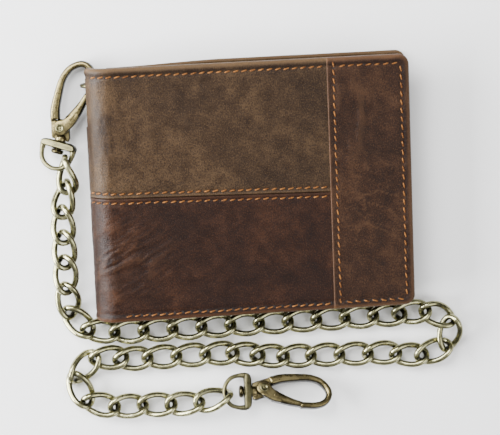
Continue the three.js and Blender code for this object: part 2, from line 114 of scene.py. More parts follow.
def ridge(noise):
    """Sharp crests where the noise passes its middle value."""
    return 1 - np.abs(2 * noise - 1)


def hashed(ix, iy, seed):
    wave = np.sin(ix * 127.1 + iy * 311.7 + seed * 74.7) * 43758.5453
    return wave - np.floor(wave)


def value_noise(x, y, seed=0):
    """Smooth noise from 0 to 1 with one feature a unit."""
    ix, iy = np.floor(x), np.floor(y)
    fx, fy = x - ix, y - iy
    fx, fy = fx * fx * (3 - 2 * fx), fy * fy * (3 - 2 * fy)
    low = hashed(ix, iy, seed) * (1 - fx) + hashed(ix + 1, iy, seed) * fx
    high = hashed(ix, iy + 1, seed) * (1 - fx) + hashed(ix + 1, iy + 1, seed) * fx
    return low * (1 - fy) + high * fy


def fractal(x, y, octaves=3, seed=0):
    total, size, weight = 0, 1.0, 0.0
    for octave in range(octaves):
        total = total + size * value_noise(x * 2 ** octave, y * 2 ** octave, seed + octave)
        weight += size
        size *= 0.5
    return total / weight


def circle(count):
    return np.linspace(0, 2 * np.pi, count, endpoint=False)


def rotation(axis, degrees):
    return np.array(Matrix.Rotation(math.radians(degrees), 3, axis))


def catmull(points, samples):
    """A smooth line through 2-D or 3-D points, evenly resampled."""
    p = np.array(points, float)
    p = np.vstack([2 * p[0] - p[1], p, 2 * p[-1] - p[-2]])
    out = []
    for i in range(1, len(p) - 2):
        a, b, c, d = p[i - 1:i + 3]
        for t in np.linspace(0, 1, 24, endpoint=False):
            out.append(0.5 * (2 * b + (c - a) * t + (2 * a - 5 * b + 4 * c - d) * t ** 2
                              + (3 * b - a - 3 * c + d) * t ** 3))
    out.append(p[-2])
    out = np.array(out)
    run = np.r_[0, np.cumsum(np.linalg.norm(np.diff(out, axis=0), axis=1))]
    even = np.linspace(0, run[-1], samples)
    return np.stack([np.interp(even, run, out[:, k]) for k in range(out.shape[1])], 1)


# ---- mesh building ---------------------------------------------------------------------------------

FLAT_SPAN = 200.0  # millimetres across the whole of the flat coordinates


class Build:
    """Gathers vertices, faces, flat coordinates, and tones: painted highlight, painted shade and
    antiquing, and crease.
    """

    def __init__(self):
        self.points, self.faces, self.slots, self.tones, self.flat = [], [], [], [], []
        self.count = 0

    def add(self, points, faces, slot=0, tone=None, flat=None):
        points = np.asarray(points, float)
        n = len(points)
        self.points.append(points)
        self.faces.extend(tuple(int(i) + self.count for i in f) for f in faces)
        self.slots.extend([slot] * len(faces))
        self.tones.append(np.zeros((n, 3)) if tone is None else np.broadcast_to(tone, (n, 3)))
        self.flat.append(points[:, :2] if flat is None else np.asarray(flat, float))
        self.count += n

    def piece(self, name, materials, sharp=40):
        mesh = bpy.data.meshes.new(name)
        points = np.vstack(self.points) * MM
        mesh.from_pydata(points.tolist(), [], self.faces)
        mesh.validate()
        for m in materials:
            mesh.materials.append(m)
        mesh.polygons.foreach_set("material_index", self.slots[:len(mesh.polygons)])
        mesh.polygons.foreach_set("use_smooth", [True] * len(mesh.polygons))
        tones = np.c_[np.vstack(self.tones), np.ones(self.count)]
        tone = mesh.color_attributes.new("tone", "FLOAT_COLOR", "POINT")
        tone.data.foreach_set("color", tones.astype(np.float32).ravel())
        uv = mesh.uv_layers.new(name="flat")
        loops = np.zeros(len(mesh.loops), np.int32)
        mesh.loops.foreach_get("vertex_index", loops)
        flat = np.vstack(self.flat)[loops] / FLAT_SPAN
        uv.data.foreach_set("uv", flat.astype(np.float32).ravel())
        mesh.set_sharp_from_angle(angle=math.radians(sharp))
        return linked(name, mesh)


def linked(name, data):
    obj = bpy.data.objects.new(name, data)
    bpy.context.scene.collection.objects.link(obj)
    return obj


def grid_faces(rows, columns):
    index = np.arange(rows * columns).reshape(rows, columns)
    a, b = index[:-1, :-1].ravel(), index[1:, :-1].ravel()
    c, d = index[1:, 1:].ravel(), index[:-1, 1:].ravel()
    return np.stack([a, b, c, d], 1)


def tones_of(light, shade_and_antiquing, crease=0.0):
    return np.clip(np.stack(np.broadcast_arrays(light, shade_and_antiquing, crease), -1), 0, 1)


def slab(build, outer, inner, keep=None, tone=None, flat=None, turned=False):
    """A closed sheet between two grids of points, with faces left out where keep is False.

    Turned is for a sheet whose outer face looks down.
    """
    if turned:
        outer, inner = outer[:, ::-1], inner[:, ::-1]
        tone = None if tone is None else tone[:, ::-1]
    rows, columns = outer.shape[:2]
    faces = grid_faces(rows, columns)
    if keep is not None:
        faces = faces[keep.ravel()]
    n = rows * columns
    sides = {}
    for face in faces:
        for p, q in zip(face, np.roll(face, -1)):
            key = (min(p, q), max(p, q))
            sides[key] = None if key in sides else (p, q)
    rims = [(q, p, p + n, q + n) for p, q in filter(None, sides.values())]
    both = [*map(tuple, faces), *(tuple(f[::-1] + n) for f in faces), *rims]
    points = np.vstack([outer.reshape(-1, 3), inner.reshape(-1, 3)])
    tones = None if tone is None else np.vstack([tone.reshape(-1, 3)] * 2)
    flats = None if flat is None else np.vstack([flat.reshape(-1, 2)] * 2)
    build.add(points, both, 0, tones, flats)


EDGE_LINES = [0, 0.08, 0.2, 0.38, 0.6, 0.9, 1.3, 1.8]  # grid lines beside a rounded edge


def stations(low, high, step, fine_low=True, fine_high=True):
    """Grid lines between two places, closer together beside each edge."""
    a = EDGE_LINES if fine_low else [0]
    b = EDGE_LINES if fine_high else [0]
    plain = high - low - a[-1] - b[-1]
    middle = np.linspace(low + a[-1], high - b[-1], max(2, int(plain / step) + 2))
    return np.r_[low + np.array(a[:-1]), middle, (high - np.array(b[:-1]))[::-1]]


# the three rings of a rounded end, as shares of its cap: reach past the line, and drawing in
CAP_REACH = np.array([0.0, 0.55, 1.0])
CAP_INSET = np.array([0.0, 0.18, 0.6])
LEAST_HALF_WIDTH = 0.05


def sweep(build, line, radii, normals=None, exponent=2.0, sides=16, closed=False, cap=0.35,
          flank_shade=0.0):
    """A section with two half widths, swept along a line; normals gives the first width's direction.

    The exponent squares the section up: 2 is an ellipse. The last argument sets painted shade on the
    flanks, which face along the first width.
    """
    centre = np.asarray(line, float)
    count = len(centre)
    if closed:
        along = np.roll(centre, -1, 0) - np.roll(centre, 1, 0)
    else:
        along = np.gradient(centre, axis=0)
    along /= np.linalg.norm(along, axis=1)[:, None]
    if normals is None:
        normals = np.cross(np.array([0, 0, 1.0]), along)
    normals = normals - (normals * along).sum(1)[:, None] * along
    normals /= np.linalg.norm(normals, axis=1)[:, None]
    ups = np.cross(along, normals)
    radii = np.broadcast_to(np.asarray(radii, float), (count, 2))
    inset = np.zeros(count)
    if not closed and cap:
        reach = CAP_REACH[:, None] * cap
        centre = np.vstack([(centre[0] - along[0] * reach)[::-1], centre[1:-1],
                            centre[-1] + along[-1] * reach])
        inset = np.r_[CAP_INSET[::-1] * cap, np.zeros(count - 2), CAP_INSET * cap]
        repeat = np.r_[0, 0, np.arange(count), count - 1, count - 1]
        normals, ups, radii = normals[repeat], ups[repeat], radii[repeat]
        count = len(centre)
    wide, tall = np.maximum(radii - inset[:, None], LEAST_HALF_WIDTH).T[:, :, None]
    turn = circle(sides)
    power = 2 / exponent
    c, s = (np.sign(v) * np.abs(v) ** power for v in (np.cos(turn), np.sin(turn)))
    points = (centre[:, None] + normals[:, None] * (wide * c)[..., None]
              + ups[:, None] * (tall * s)[..., None])
    index = np.arange(count * sides).reshape(count, sides)
    beside = np.roll(index, -1, 1)
    ahead, ahead_beside = np.roll(index, -1, 0), np.roll(beside, -1, 0)
    rows = count if closed else count - 1
    faces = np.stack([index[:rows], beside[:rows], ahead_beside[:rows], ahead[:rows]], -1)
    faces = [tuple(f) for f in faces.reshape(-1, 4)]
    if not closed:
        faces += [tuple(index[0][::-1]), tuple(index[-1])]
    tone = None
    # painted shade on the flanks
    if flank_shade:
        flank = flank_shade * (1 - smooth(0.72, 0.98, np.abs(s)))
        tone = np.tile(tones_of(0, flank), (count, 1))
    build.add(points.reshape(-1, 3), faces, 0, tone)


def unit(vectors):
    return vectors / np.linalg.norm(vectors, axis=-1, keepdims=True)


def bevelled(build, outline, low, high, bevel, flank_shade, steps=3):
    """A flat outline raised from low to high with rounded rims, and painted shade of the given strength
    on its flanks.
    """
    outline = np.asarray(outline, float)
    along = unit(unit(np.roll(outline, -1, 0) - outline) + unit(outline - np.roll(outline, 1, 0)))
    inward = np.stack([-along[:, 1], along[:, 0]], 1)
    x, y = outline.T
    area = (x * np.roll(y, -1) - np.roll(x, -1) * y).sum()
    if area < 0:
        inward = -inward
    quarter = [math.pi / 2 * i / steps for i in range(steps + 1)]
    rings = [(bevel * (1 - math.sin(a)), low + bevel * (1 - math.cos(a))) for a in quarter]
    rings += [(inset, low + high - z) for inset, z in rings[::-1]]
    n = len(outline)
    points = np.vstack([np.c_[outline + inward * inset, np.full(n, z)] for inset, z in rings])
    faces = []
    for r in range(len(rings) - 1):
        for i in range(n):
            j = (i + 1) % n
            face = (r * n + i, r * n + j, (r + 1) * n + j, (r + 1) * n + i)
            faces.append(face if area > 0 else face[::-1])
    for flat in (tuple(range(n))[::-1], tuple(range((len(rings) - 1) * n, len(rings) * n))):
        faces.append(flat if area > 0 else flat[::-1])
    tone = np.zeros((len(rings), n, 3))
    # painted shade on the rims and sides
    tone[1:-1, :, 1] = flank_shade
    build.add(points, faces, 0, tone.reshape(-1, 3))


def lathe(build, profile, frame_axes, centre, sides, tone=None):
    """A profile of (radius, height) turned about the third of three axes through a centre."""
    radius, height = np.asarray(profile, float).T[:, :, None, None]
    turn = circle(sides)[:, None]
    x, y, z = (np.array(a, float) for a in frame_axes)
    points = np.array(centre) + radius * (np.cos(turn) * x + np.sin(turn) * y) + height * z
    faces = []
    for r in range(len(profile) - 1):
        for i in range(sides):
            j = (i + 1) % sides
            faces.append((r * sides + i, r * sides + j, (r + 1) * sides + j, (r + 1) * sides + i))
    faces.append(tuple(range(sides))[::-1])
    faces.append(tuple(range((len(profile) - 1) * sides, len(profile) * sides)))
    build.add(points.reshape(-1, 3), faces, 0, tone)


# ---- materials -------------------------------------------------------------------------------------

def new_material(name):
    material = bpy.data.materials.new(name)
    material.use_nodes = True
    tree = material.node_tree
    shader = tree.nodes["Principled BSDF"]
    return material, tree, shader


def node(tree, kind, inputs=None, **settings):
    made = tree.nodes.new(kind)
    for key, value in settings.items():
        setattr(made, key, value)
    for key, value in (inputs or {}).items():
        if isinstance(value, bpy.types.NodeSocket):
            tree.links.new(value, made.inputs[key])
        else:
            made.inputs[key].default_value = value
    return made


def ramp(tree, value, stops):
    made = node(tree, "ShaderNodeValToRGB", {"Fac": value})
    elements = made.color_ramp.elements
    while len(elements) < len(stops):
        elements.new(0.5)
    for element, (place, colour) in zip(elements, stops):
        element.position = place
        element.color = (*colour, 1)
    return made.outputs["Color"]


def blend_colour(tree, share, a, b):
    made = node(tree, "ShaderNodeMix", data_type="RGBA", blend_type="MIX")
    tree.links.new(share, made.inputs[0])
    for socket, value in ((made.inputs[6], a), (made.inputs[7], b)):
        if isinstance(value, bpy.types.NodeSocket):
            tree.links.new(value, socket)
        else:
            socket.default_value = (*value, 1)
    return made.outputs[2]


def added(tree, a, b):
    return node(tree, "ShaderNodeMath", {0: a, 1: b}, operation="ADD").outputs[0]


def times(tree, a, b):
    return node(tree, "ShaderNodeMath", {0: a, 1: b}, operation="MULTIPLY").outputs[0]


def set_values(shader, **values):
    for key, value in values.items():
        shader.inputs[key.replace("_", " ")].default_value = value


def set_roughness(tree, shader, patch, roughness):
    """Roughness between two values, as the patches run from 0.3 to 0.7."""
    smoothest, roughest = roughness
    rough = node(tree, "ShaderNodeMapRange", {0: patch, 1: 0.3, 2: 0.7, 3: smoothest, 4: roughest})
    tree.links.new(rough.outputs[0], shader.inputs["Roughness"])


def set_bump(tree, shader, height, strength, distance):
    inputs = {"Height": height, "Strength": strength, "Distance": distance}
    bump = node(tree, "ShaderNodeBump", inputs)
    tree.links.new(bump.outputs[0], shader.inputs["Normal"])


def tone_channels(tree):
    """The mesh's painted highlight, painted shade and antiquing, and crease."""
    tone = node(tree, "ShaderNodeVertexColor", layer_name="tone").outputs["Color"]
    channels = node(tree, "ShaderNodeSeparateColor", {"Color": tone})
    return [channels.outputs[key] for key in ("Red", "Green", "Blue")]


def flat_coordinates(tree, stretch=(1, 1)):
    """Flat coordinates in millimetres."""
    uv = node(tree, "ShaderNodeUVMap", uv_map="flat").outputs["UV"]
    scale = (FLAT_SPAN * stretch[0], FLAT_SPAN * stretch[1], 1)
    return node(tree, "ShaderNodeMapping", {"Vector": uv, "Scale": scale}).outputs["Vector"]


def noise_of(tree, where, scale, detail=3.0, roughness=0.55, distortion=0.0):
    inputs = {"Vector": where, "Scale": scale, "Detail": detail, "Roughness": roughness,
              "Distortion": distortion}
    return node(tree, "ShaderNodeTexNoise", inputs).outputs["Fac"]


BLACK, WHITE = (0, 0, 0), (1, 1, 1)
MATT_SPECULAR = 0.15  # for the leather and the thread


def leather(name, dark, middle, light, pale_tone, speck_and_shade, roughness=(0.36, 0.56)):
    material, tree, shader = new_material(name)
    where = flat_coordinates(tree)
    tall = flat_coordinates(tree, (1.0, 0.75))
    broad = noise_of(tree, where, 0.045, 3, 0.6, 0.4)
    patch = noise_of(tree, where, 0.22, 5, 0.62, 0.3)
    fine = noise_of(tree, tall, 1.8, 6, 0.66, 0.2)
    finest = noise_of(tree, tall, 2.4, 4, 0.6)
    painted_highlight, painted_shade, crease = tone_channels(tree)
    mix = added(tree, times(tree, broad, 0.55), times(tree, patch, 0.45))
    colour = ramp(tree, mix, [(0.38, dark), (0.5, middle), (0.61, light)])
    specks = ramp(tree, fine, [(0.40, WHITE), (0.56, BLACK)])
    colour = blend_colour(tree, times(tree, specks, 0.7), colour, speck_and_shade)
    pale = ramp(tree, finest, [(0.52, BLACK), (0.7, WHITE)])
    colour = blend_colour(tree, times(tree, pale, 0.3), colour, pale_tone)
    colour = blend_colour(tree, crease, colour, pale_tone)
    # painted shade from the tones' second channel, then painted highlight from the first
    colour = blend_colour(tree, painted_shade, colour, speck_and_shade)
    colour = blend_colour(tree, painted_highlight, colour, pale_tone)
    tree.links.new(colour, shader.inputs["Base Color"])
    set_roughness(tree, shader, patch, roughness)
    set_values(shader, Specular_IOR_Level=MATT_SPECULAR)
    cells = node(tree, "ShaderNodeTexVoronoi", {"Vector": where, "Scale": 1.15, "Randomness": 1.0},
                 feature="DISTANCE_TO_EDGE").outputs["Distance"]
    pebbles = ramp(tree, cells, [(0.0, BLACK), (0.22, WHITE)])
    height = added(tree, times(tree, pebbles, 0.35), times(tree, fine, 0.9))
    height = added(tree, height, times(tree, patch, 1.1))
    set_bump(tree, shader, height, 0.5, 0.00022)
    return material


def metal(name, bright, middle, dark, roughness=(0.24, 0.42)):
    material, tree, shader = new_material(name)
    place = node(tree, "ShaderNodeTexCoord").outputs["Object"]
    patch = noise_of(tree, place, 260.0, 4, 0.6)
    fine = noise_of(tree, place, 1500.0, 3, 0.6)
    pale_tone = added(tree, patch, times(tree, fine, 0.35))
    colour = ramp(tree, pale_tone, [(0.5, middle), (0.95, bright)])
    # darkened by the tones' second channel: painted shade on the hooks' flanks, antiquing with painted
    # shade inside the links
    colour = blend_colour(tree, tone_channels(tree)[1], colour, dark)
    tree.links.new(colour, shader.inputs["Base Color"])
    set_values(shader, Metallic=1.0)
    set_roughness(tree, shader, patch, roughness)
    set_bump(tree, shader, fine, 0.25, 0.00005)
    return material


def thread(name, pale, deep):
    material, tree, shader = new_material(name)
    place = node(tree, "ShaderNodeTexCoord").outputs["Object"]
    patch = noise_of(tree, place, 900.0, 3, 0.6)
    tree.links.new(ramp(tree, patch, [(0.35, deep), (0.62, pale)]), shader.inputs["Base Color"])
    strands = noise_of(tree, place, 4200.0, 2, 0.5)
    set_bump(tree, shader, strands, 0.6, 0.0001)
    set_values(shader, Roughness=0.75, Specular_IOR_Level=MATT_SPECULAR)
    return material


def cloth(name, base, other):
    material, tree, shader = new_material(name)
    where = flat_coordinates(tree)
    warp, weft = (node(tree, "ShaderNodeTexWave", {"Vector": where, "Scale": 0.9, "Distortion": 0.6},
                       bands_direction=way).outputs["Fac"] for way in "XY")
    weave = times(tree, warp, weft)
    patch = noise_of(tree, where, 0.12, 4)
    mix = added(tree, times(tree, weave, 0.6), times(tree, patch, 0.4))
    tree.links.new(ramp(tree, mix, [(0.2, base), (0.75, other)]), shader.inputs["Base Color"])
    set_bump(tree, shader, weave, 0.5, 0.00015)
    set_values(shader, Roughness=0.85, Sheen_Weight=0.2)
    return material


def plain(name, colour, roughness):
    material, _, shader = new_material(name)
    set_values(shader, Base_Color=(*colour, 1), Roughness=roughness)
    return material


# each leather: its dark, middle and light patches, then its pale tone for pale specks, creases and
# painted highlights, then the dark of its specks and painted shade
UPPER = leather("upper_leather", (0.0125, 0.0058, 0.0022), (0.0260, 0.0136, 0.0056),
                (0.048, 0.027, 0.0118), (0.125, 0.074, 0.034), (0.0042, 0.0017, 0.0007))
LOWER = leather("lower_leather", (0.0058, 0.0014, 0.0004), (0.0125, 0.0034, 0.0010),
                (0.026, 0.0088, 0.0031), (0.085, 0.037, 0.016), (0.0022, 0.0005, 0.0002))
STRIP = leather("strip_leather", (0.0080, 0.0023, 0.0007), (0.0170, 0.0060, 0.0021),
                (0.033, 0.0138, 0.0055), (0.110, 0.055, 0.025), (0.0028, 0.0008, 0.0003))
INNER = leather("inner_leather", (0.0140, 0.0065, 0.0030), (0.0250, 0.0125, 0.0060),
                (0.040, 0.0215, 0.0110), (0.105, 0.060, 0.032), (0.0045, 0.0018, 0.0010), (0.5, 0.7))
THREAD = thread("tan_thread", (0.190, 0.078, 0.0200), (0.070, 0.024, 0.0060))
# the needle holes are dark discs of painted shade
HOLE_SHADE = plain("stitch_hole_shade", (0.008, 0.005, 0.004), 0.9)
LINING = cloth("lining_cloth", (0.022, 0.017, 0.014), (0.05, 0.04, 0.032))
# each brass: bright, middle, and the dark of its antiquing and painted shade
BRASS = metal("antique_brass", (0.52, 0.50, 0.29), (0.19, 0.18, 0.092), (0.010, 0.009, 0.0045),
              (0.17, 0.32))
HOOK_BRASS = metal("hook_brass", (0.25, 0.205, 0.095), (0.095, 0.076, 0.034), (0.006, 0.005, 0.0025),
                   (0.2, 0.36))
DARK_BRASS = metal("dark_brass", (0.17, 0.155, 0.08), (0.055, 0.05, 0.025), (0.006, 0.005, 0.003))


# ---- wallet shell ----------------------------------------------------------------------------------

STITCH_INSET = 3.3  # stitch rows from the wallet's edges, and the dent they lie in
DENT_WIDTH = 0.55
SEAM_STITCH = 1.77  # stitch rows on both sides of the seam
STRIP_LEFT = STRIP_X - 0.3  # the strip laps over the two panels
STRIP_STITCH_X = 31.5
SHARP_LEATHER = 55  # degrees from which an edge is shaded as sharp
SHARP_THREAD = 70


def wrap_frame(u):
    """Place and outward normal (x and z) at arc length u: x on the front, then round the spine."""
    turn = np.clip((SPINE_X - u) / SPINE_RADIUS, 0, math.pi)
    x = np.where(u >= SPINE_X, u, SPINE_X - SPINE_RADIUS * np.sin(turn))
    z = np.where(u >= SPINE_X, TOP, SPINE_RADIUS + SPINE_RADIUS * np.cos(turn))
    return x, z, -np.sin(turn), np.cos(turn)


def seam_at(u):
    return SEAM_Y + SEAM_SLOPE * np.maximum(u, -60)


def edge_drop(distance, radius):
    """How far a rounded rim lies below the face, at a distance from its edge."""
    d = np.clip(distance, 0, radius)
    return radius - np.sqrt(np.maximum(radius ** 2 - (radius - d) ** 2, 0))


def turned_rim(rim):
    """The swelling of the turned edge and the dent of its stitches, and the painted shade in that dent.
    """
    swelling = 0.16 * smooth(0.2, 1.2, rim) * (1 - smooth(1.6, 3.0, rim))
    return swelling + groove(rim, STITCH_INSET, DENT_WIDTH, 0.22), 0.62 * bell(rim, 2.5, 0.55)


def front_relief(u, y, upper):
    """Height of the front leather above its plain face, and its tone."""
    seam = np.abs(y - seam_at(u)) - SEAM_GAP
    rim = HALF_HEIGHT - y if upper else y + HALF_HEIGHT
    swelling, dent_shade = turned_rim(rim)
    h = swelling - edge_drop(rim, 1.3) - edge_drop(seam, 0.3) + groove(seam, 1.65, 0.5, 0.2)
    if upper:
        h += groove(seam, 0.95, 0.22, 0.22)
    h += 0.22 * (fractal(u / 22, y / 22, 2, 3) - 0.5) + 0.07 * (fractal(u / 5, y / 6, 3, 9) - 0.5)
    # painted highlight along the rounded rim and on the ridge beside the seam
    light = 0.5 * (1 - smooth(0.6, 1.9, rim)) + 0.14 * bell(seam, 0.5, 0.5)
    crease = 0.0
    if not upper:
        # diagonal creases that rise from the fold
        across, along = ((y + 30) - 0.55 * (u + 58)) / 2.6, (u + 0.5 * y) / 16
        ridges = ridge(fractal(across + 0.6 * fractal(along, across, 2, 5), along, 3, 21))
        mask = bell(u, -50, 17) * bell(y, -24, 13)
        h += mask * 0.36 * (smooth(0.62, 0.95, ridges) - 0.25)
        crease = mask * 0.22 * smooth(0.84, 0.98, ridges)
    fold = bell(u, -56, 7)
    wrinkle = ridge(fractal(u / 3.4, y / 11, 3, 31))
    h += fold * 0.10 * smooth(0.6, 0.95, wrinkle)
    # painted highlights on the wrinkles at the fold
    light = light + 0.1 * fold * smooth(0.7, 0.98, wrinkle)
    # painted shade in the stitch dents and along the seam's gap
    return h, tones_of(light, dent_shade + 0.5 * bell(seam, 0.02, 0.25), crease)


def cell_middles(grid):
    return (grid[:-1, :-1] + grid[1:, 1:]) / 2


def shell_wrap(name, upper, material, nodes):
    u = np.r_[stations(SPINE_X - SPINE_ARC, SPINE_X, 0.7, True, False)[:-1],
              stations(SPINE_X, STRIP_LEFT, 0.62, False, False)]
    height = 49.0 if upper else 46.0
    grid_u, share = np.meshgrid(u, stations(0, height, 0.62) / height, indexing="ij")
    seam = seam_at(grid_u)
    if upper:
        y = seam + SEAM_GAP + share * (HALF_HEIGHT - seam - SEAM_GAP)
    else:
        y = -HALF_HEIGHT + share * (seam - SEAM_GAP + HALF_HEIGHT)
    x, z, nx, nz = wrap_frame(grid_u)
    h, tone = front_relief(grid_u, y, upper)
    outer = np.stack([x + nx * h, y, z + nz * h], -1)
    inner = np.stack([x - nx * LEATHER, y, z - nz * LEATHER], -1)
    keep = None
    if upper:
        bent = cell_middles(grid_u) < SPINE_X
        keep = ~(bent & (cell_middles(z) < NOTCH_Z) & (cell_middles(y) > NOTCH_Y))
    build = Build()
    slab(build, outer, inner, keep, tone, np.stack([grid_u, y], -1))
    piece = build.piece(name, [material], SHARP_LEATHER)
    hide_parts(*nodes)
    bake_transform(piece)


def rounded_edge_x(y, right):
    """The right-hand edge of a cover with rounded corners."""
    over = np.clip(np.abs(y) - (HALF_HEIGHT - CORNER), 0, CORNER)
    return right - CORNER + np.sqrt(np.maximum(CORNER ** 2 - over ** 2, 0))


def cover_grid(left, right, step_x, step_y):
    y = stations(-HALF_HEIGHT, HALF_HEIGHT, step_y)
    share, y = np.meshgrid(stations(0, right - left, step_x) / (right - left), y, indexing="ij")
    return left + share * (rounded_edge_x(y, right) - left), y


def cover_edge_distance(x, y, right):
    """Distance inside the outline of a cover whose right-hand corners are rounded."""
    qx, qy = x - (right - CORNER), np.abs(y) - (HALF_HEIGHT - CORNER)
    outside = np.hypot(np.maximum(qx, 0), np.maximum(qy, 0)) + np.minimum(np.maximum(qx, qy), 0)
    return CORNER - outside


def strip_relief(x, y):
    rim = cover_edge_distance(x, y, FREE_X)
    left = x - STRIP_LEFT
    swelling, dent_shade = turned_rim(rim)
    h = swelling - edge_drop(rim, 1.4) - edge_drop(left, 0.35) + groove(left, 2.4, 0.5, 0.18)
    inside = smooth(3.5, 7, rim) * smooth(3, 5, left)
    h += inside * 0.5 * (fractal(x / 11, y / 30, 2, 13) - 0.5)
    # folds near the top and fine lines lower down
    folds = ridge(fractal(x / 4.2 + 0.5 * fractal(x / 9, y / 9, 2, 4), y / 20, 3, 44))
    high = bell(y, 26, 16) * bell(x, 38, 8)
    h += high * 0.4 * (smooth(0.55, 0.95, folds) - 0.3)
    lines = ridge(fractal((y + 0.42 * x) / 3.1, (x - 0.3 * y) / 17, 3, 57))
    low = bell(y, -8, 16) * bell(x, 47, 9)
    h += low * 0.12 * (smooth(0.7, 0.97, lines) - 0.3)
    h += 0.07 * (fractal(x / 5, y / 6, 3, 19) - 0.5)
    # painted highlight on the rim and along the left edge, and painted shade in the stitch dent
    light = 0.55 * (1 - smooth(0.5, 1.9, rim)) + 0.35 * (1 - smooth(0.1, 0.8, left))
    crease = 0.3 * low * smooth(0.93, 0.99, lines) + 0.16 * high * smooth(0.75, 0.97, folds)
    return h, tones_of(light, dent_shade, crease)


def side_strip():
    x, y = cover_grid(STRIP_LEFT, FREE_X, 0.6, 0.62)
    h, tone = strip_relief(x, y)
    outer = np.stack([x, y, STRIP_TOP + h], -1)
    inner = np.stack([x, y, np.full_like(x, TOP - LEATHER)], -1)
    build = Build()
    slab(build, outer, inner, None, tone)
    piece = build.piece("side_strip", [STRIP], SHARP_LEATHER)
    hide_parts("front_side_strip")
    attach(piece, "front_cover")


def back_cover():
    left = SPINE_X + 0.15
    x, y = cover_grid(left, BACK_X, 1.0, 1.0)
    rim = cover_edge_distance(x, y, BACK_X)
    # the top edge is drawn in beside the spine, so that the front hides it
    y = y - 1.3 * (1 - smooth(left, left + 45, x)) * smooth(HALF_HEIGHT - 6, HALF_HEIGHT, y)
    h = -edge_drop(rim, 0.75)
    # the back's own relief only sinks into the leather, because its face lies on the floor
    sunk = groove(rim, STITCH_INSET, DENT_WIDTH, 0.2) - 0.12 * fractal(x / 18, y / 18, 3, 71)
    outer = np.stack([x, y, -(h + np.minimum(sunk, 0) * smooth(0.3, 1.5, rim))], -1)
    inner = np.stack([x, y, LEATHER + h * 0.9], -1)
    # painted highlight on the rim and painted shade in the stitch dent
    tone = tones_of(0.55 * (1 - smooth(0.4, 1.6, rim)), 0.5 * bell(rim, 2.5, 0.55))
    build = Build()
    slab(build, outer, inner, None, tone, turned=True)
    piece = build.piece("back_cover", [UPPER], SHARP_LEATHER)
    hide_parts("back_cover_panel")
    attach(piece, "back_cover")


# ---- stitches --------------------------------------------------------------------------------------

PITCH = 3.1
STITCH_SHARE = 0.7  # a stitch's length as a share of the pitch
SUNK_END = 0.12
HOLE_RADIUS = 0.5
HOLE_SIDES = 10
UP, DOWN = np.array([0, 0, 1.0]), np.array([0, 0, -1.0])


def stitch(build, middle, along, up, length, width=0.30, height=0.32, slant=14):
    """One sunk-ended stitch of thread with a disc of painted shade in the needle hole at each end."""
    side = np.cross(up, along)
    a = math.radians(slant)
    along, side = along * math.cos(a) + side * math.sin(a), side * math.cos(a) - along * math.sin(a)
    share = np.linspace(-1, 1, 9)
    arch = (1 - np.abs(share) ** 3) * height - SUNK_END
    line = middle + along * (share[:, None] * length / 2) + up * arch[:, None]
    widths = width * (1 - 0.45 * np.abs(share) ** 4)
    sweep(build, line, np.stack([widths, widths * 0.85], 1), np.tile(side, (9, 1)), 2.0, 8, cap=0)
    turn = circle(HOLE_SIDES)[:, None]
    for end in (-1, 1):
        centre = middle + along * (end * (length / 2 + SUNK_END)) + up * 0.05
        disc = centre + HOLE_RADIUS * (np.cos(turn) * along + np.sin(turn) * side)
        build.add(np.vstack([disc, centre - up * 0.1]),
                  [(i, (i + 1) % HOLE_SIDES, HOLE_SIDES) for i in range(HOLE_SIDES)], 1)


def stitch_row(build, place, total, pitch=PITCH, **shape):
    """Stitches along place(distance) -> point, direction, outward normal."""
    count = max(2, int(round(total / pitch)))
    for i in range(count):
        point, along, up = place(total * (i + 0.5) / count)
        along = unit(along)
        wobble = 0.06 * math.sin(7.3 * i) * np.cross(up, along)
        stitch(build, point + wobble, along, up, pitch * STITCH_SHARE, **shape)


def straight_row(build, start, end, up, onto=lambda point: point, **shape):
    start, end = np.array(start, float), np.array(end, float)
    run = end - start
    total = float(np.linalg.norm(run))
    stitch_row(build, lambda at: (onto(start + run * at / total), run, up), total, **shape)


def on_wrap(u, y, upper):
    x, z, nx, nz = (float(v) for v in wrap_frame(np.array(float(u))))
    h = float(front_relief(np.array([[float(u)]]), np.array([[float(y)]]), upper)[0][0, 0])
    return np.array([x + nx * h, y, z + nz * h]), np.array([nx, 0, nz])


def wrap_row(build, u0, u1, height_at, upper):
    def place(at):
        u = u0 + at
        here, up = on_wrap(u, height_at(u), upper)
        there, _ = on_wrap(u + 0.2, height_at(u + 0.2), upper)
        return here, there - here, up
    stitch_row(build, place, u1 - u0)


def front_stitches():
    rows = Build()
    wrap_row(rows, -59.2, STRIP_X - 1.2, lambda u: HALF_HEIGHT - STITCH_INSET, True)
    wrap_row(rows, -49.6, STRIP_X - 1.2, lambda u: -HALF_HEIGHT + 2.4, False)
    wrap_row(rows, -62.5, STRIP_X - 1.0, lambda u: float(seam_at(u)) + SEAM_STITCH, True)
    wrap_row(rows, -62.5, STRIP_X - 1.0, lambda u: float(seam_at(u)) - SEAM_STITCH, False)
    piece = rows.piece("front_stitches", [THREAD, HOLE_SHADE], SHARP_THREAD)
    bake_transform(piece)


def on_strip(point):
    h = float(strip_relief(point[:1], point[1:2])[0][0])
    return np.array([point[0], point[1], STRIP_TOP + h])


